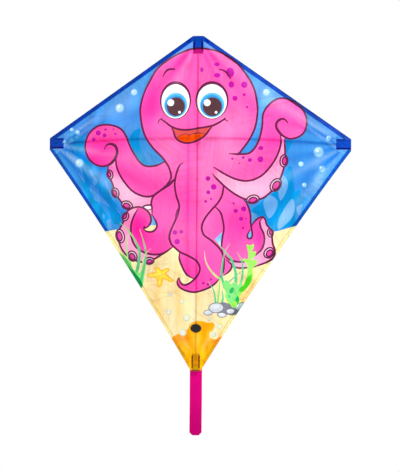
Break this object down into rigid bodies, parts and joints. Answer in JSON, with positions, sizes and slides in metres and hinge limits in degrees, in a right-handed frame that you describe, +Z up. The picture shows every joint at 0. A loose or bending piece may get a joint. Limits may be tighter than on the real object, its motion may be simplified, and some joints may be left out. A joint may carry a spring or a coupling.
{
  "type": "diamond kite",
  "caption": "Diamond kite: printed cloth sail on a fibreglass spine and bowed cross spars in sewn pockets, with a soft cross fitting, hinged wings and a ribbon tail.",
  "frame": {"origin": "the point on the sail, on its centre line, where the spine and the cross spars meet and a bridle is tied", "axes": "+Z up the spine to the nose, -Y out of the printed face towards the flyer, +X along the span"},
  "size_m": [0.736, 0.0608, 0.9601],
  "materials": {
    "sail": "printed thin ripstop polyester, lets light through",
    "hem": "the sail cloth folded double and stitched",
    "webbing": "woven polyester webbing, matt",
    "rod": "pulled fibreglass, satin",
    "cap": "soft vinyl, satin",
    "fitting": "soft vinyl, satin",
    "patch": "soft vinyl patch, matt",
    "ribbon": "thin nylon ribbon, slight sheen"
  },
  "bodies": {
    "spine_frame": {"spine_rod": "rod", "spine_nose_cap": "cap", "spine_tail_cap": "cap", "cross_fitting": "fitting", "nose_pocket": "webbing", "tail_pocket": "webbing", "sail_centre": "sail", "front_patch": "patch", "tail_ribbon_tab": "ribbon"},
    "left_wing": {"sail_left": "sail", "upper_hem_left": "hem", "lower_hem_left": "hem", "spar_left": "rod", "spar_cap_left": "cap", "cross_arm_left": "fitting", "wing_pocket_left": "webbing"},
    "right_wing": {"sail_right": "sail", "upper_hem_right": "hem", "lower_hem_right": "hem", "spar_right": "rod", "spar_cap_right": "cap", "cross_arm_right": "fitting", "wing_pocket_right": "webbing"},
    "tail_upper": {"tail_ribbon_upper": "ribbon"},
    "tail_middle": {"tail_ribbon_middle": "ribbon"},
    "tail_lower": {"tail_ribbon_lower": "ribbon"}
  },
  "joints": [
    {"name": "left_wing_flex", "type": "hinge", "parent": "spine_frame", "child": "left_wing", "pos_m": [-0.015, 0, 0], "axis": [0, 0, -1], "range_deg": [-5, 40], "stiffness_Nm_per_rad": 0.4},
    {"name": "right_wing_flex", "type": "hinge", "parent": "spine_frame", "child": "right_wing", "pos_m": [0.015, 0, 0], "axis": [0, 0, 1], "range_deg": [-5, 40], "stiffness_Nm_per_rad": 0.4},
    {"name": "tail_swing", "type": "hinge", "parent": "spine_frame", "child": "tail_upper", "pos_m": [0, 0.0102, -0.566], "axis": [1, 0, 0], "range_deg": [-75, 75]},
    {"name": "tail_bend_middle", "type": "hinge", "parent": "tail_upper", "child": "tail_middle", "pos_m": [0, 0.0102, -0.616], "axis": [1, 0, 0], "range_deg": [-60, 60]},
    {"name": "tail_bend_lower", "type": "hinge", "parent": "tail_middle", "child": "tail_lower", "pos_m": [0, 0.0102, -0.666], "axis": [1, 0, 0], "range_deg": [-60, 60]}
  ]
}
